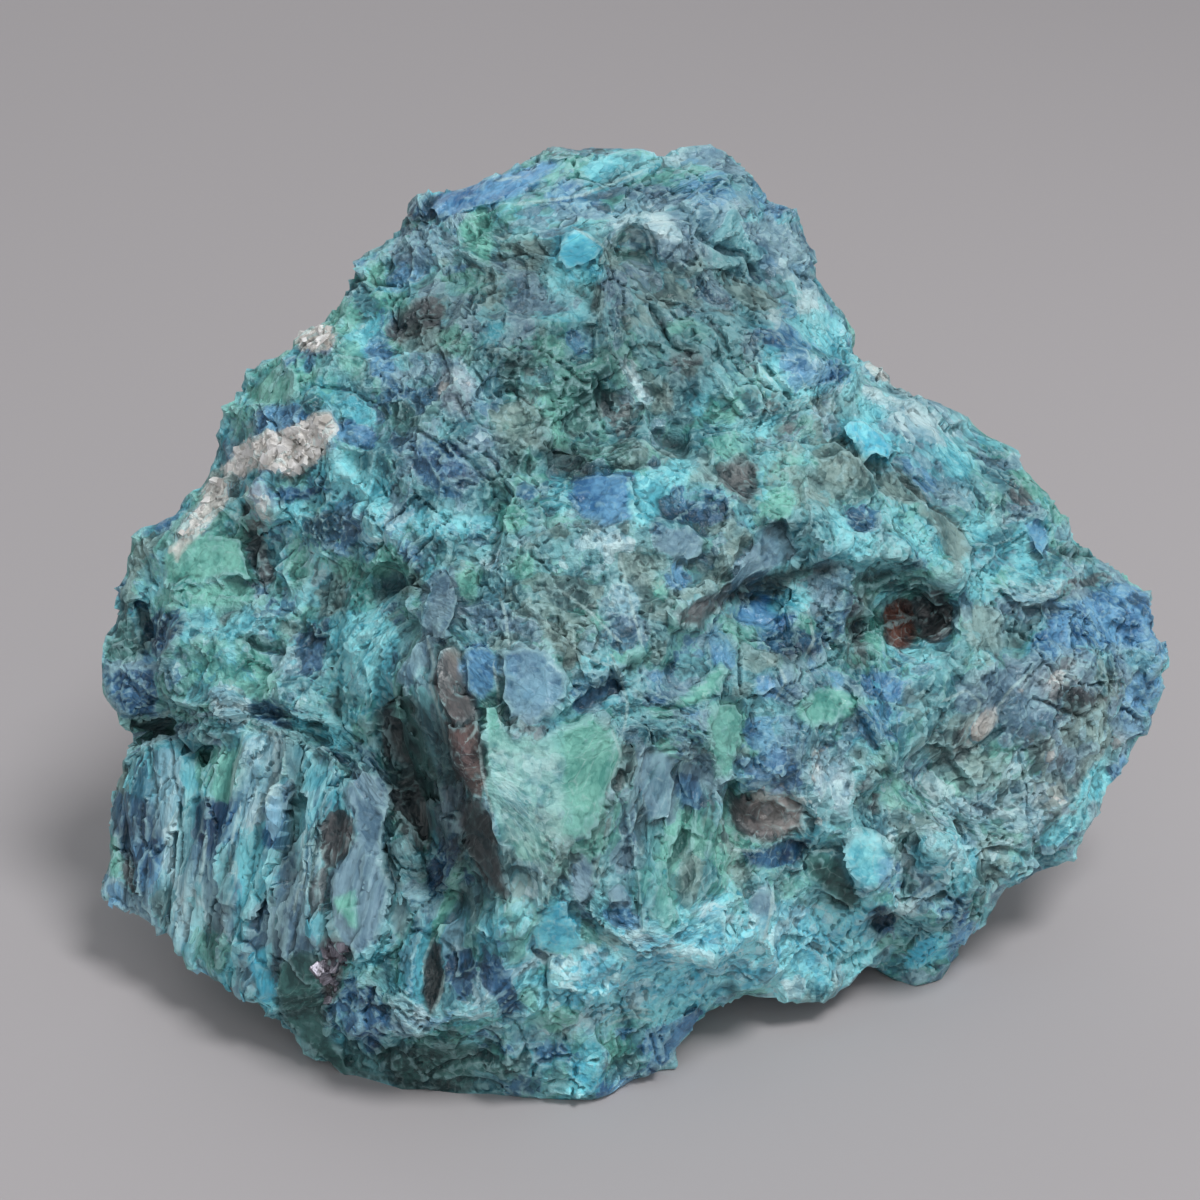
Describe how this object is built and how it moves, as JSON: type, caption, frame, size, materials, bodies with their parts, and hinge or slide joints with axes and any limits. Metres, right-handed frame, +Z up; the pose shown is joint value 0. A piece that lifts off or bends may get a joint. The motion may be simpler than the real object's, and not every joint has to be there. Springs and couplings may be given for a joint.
{
  "type": "rough chrysocolla mineral specimen",
  "caption": "Broken lump of blue-green chrysocolla with ledges, pits, knobs and a fluted face, standing free on flat-worn feet.",
  "frame": {"origin": "on the surface that the stone stands on, under the middle of its box", "axes": "+X along the stone's length, to the right seen from its front; +Y to its back; +Z up"},
  "size_m": [0.1708, 0.113, 0.119],
  "materials": {
    "chrysocolla": "rough broken surface, blue-green, with glassy and pale patches"
  },
  "bodies": {
    "root": {"stone": "chrysocolla"}
  },
  "joints": []
}
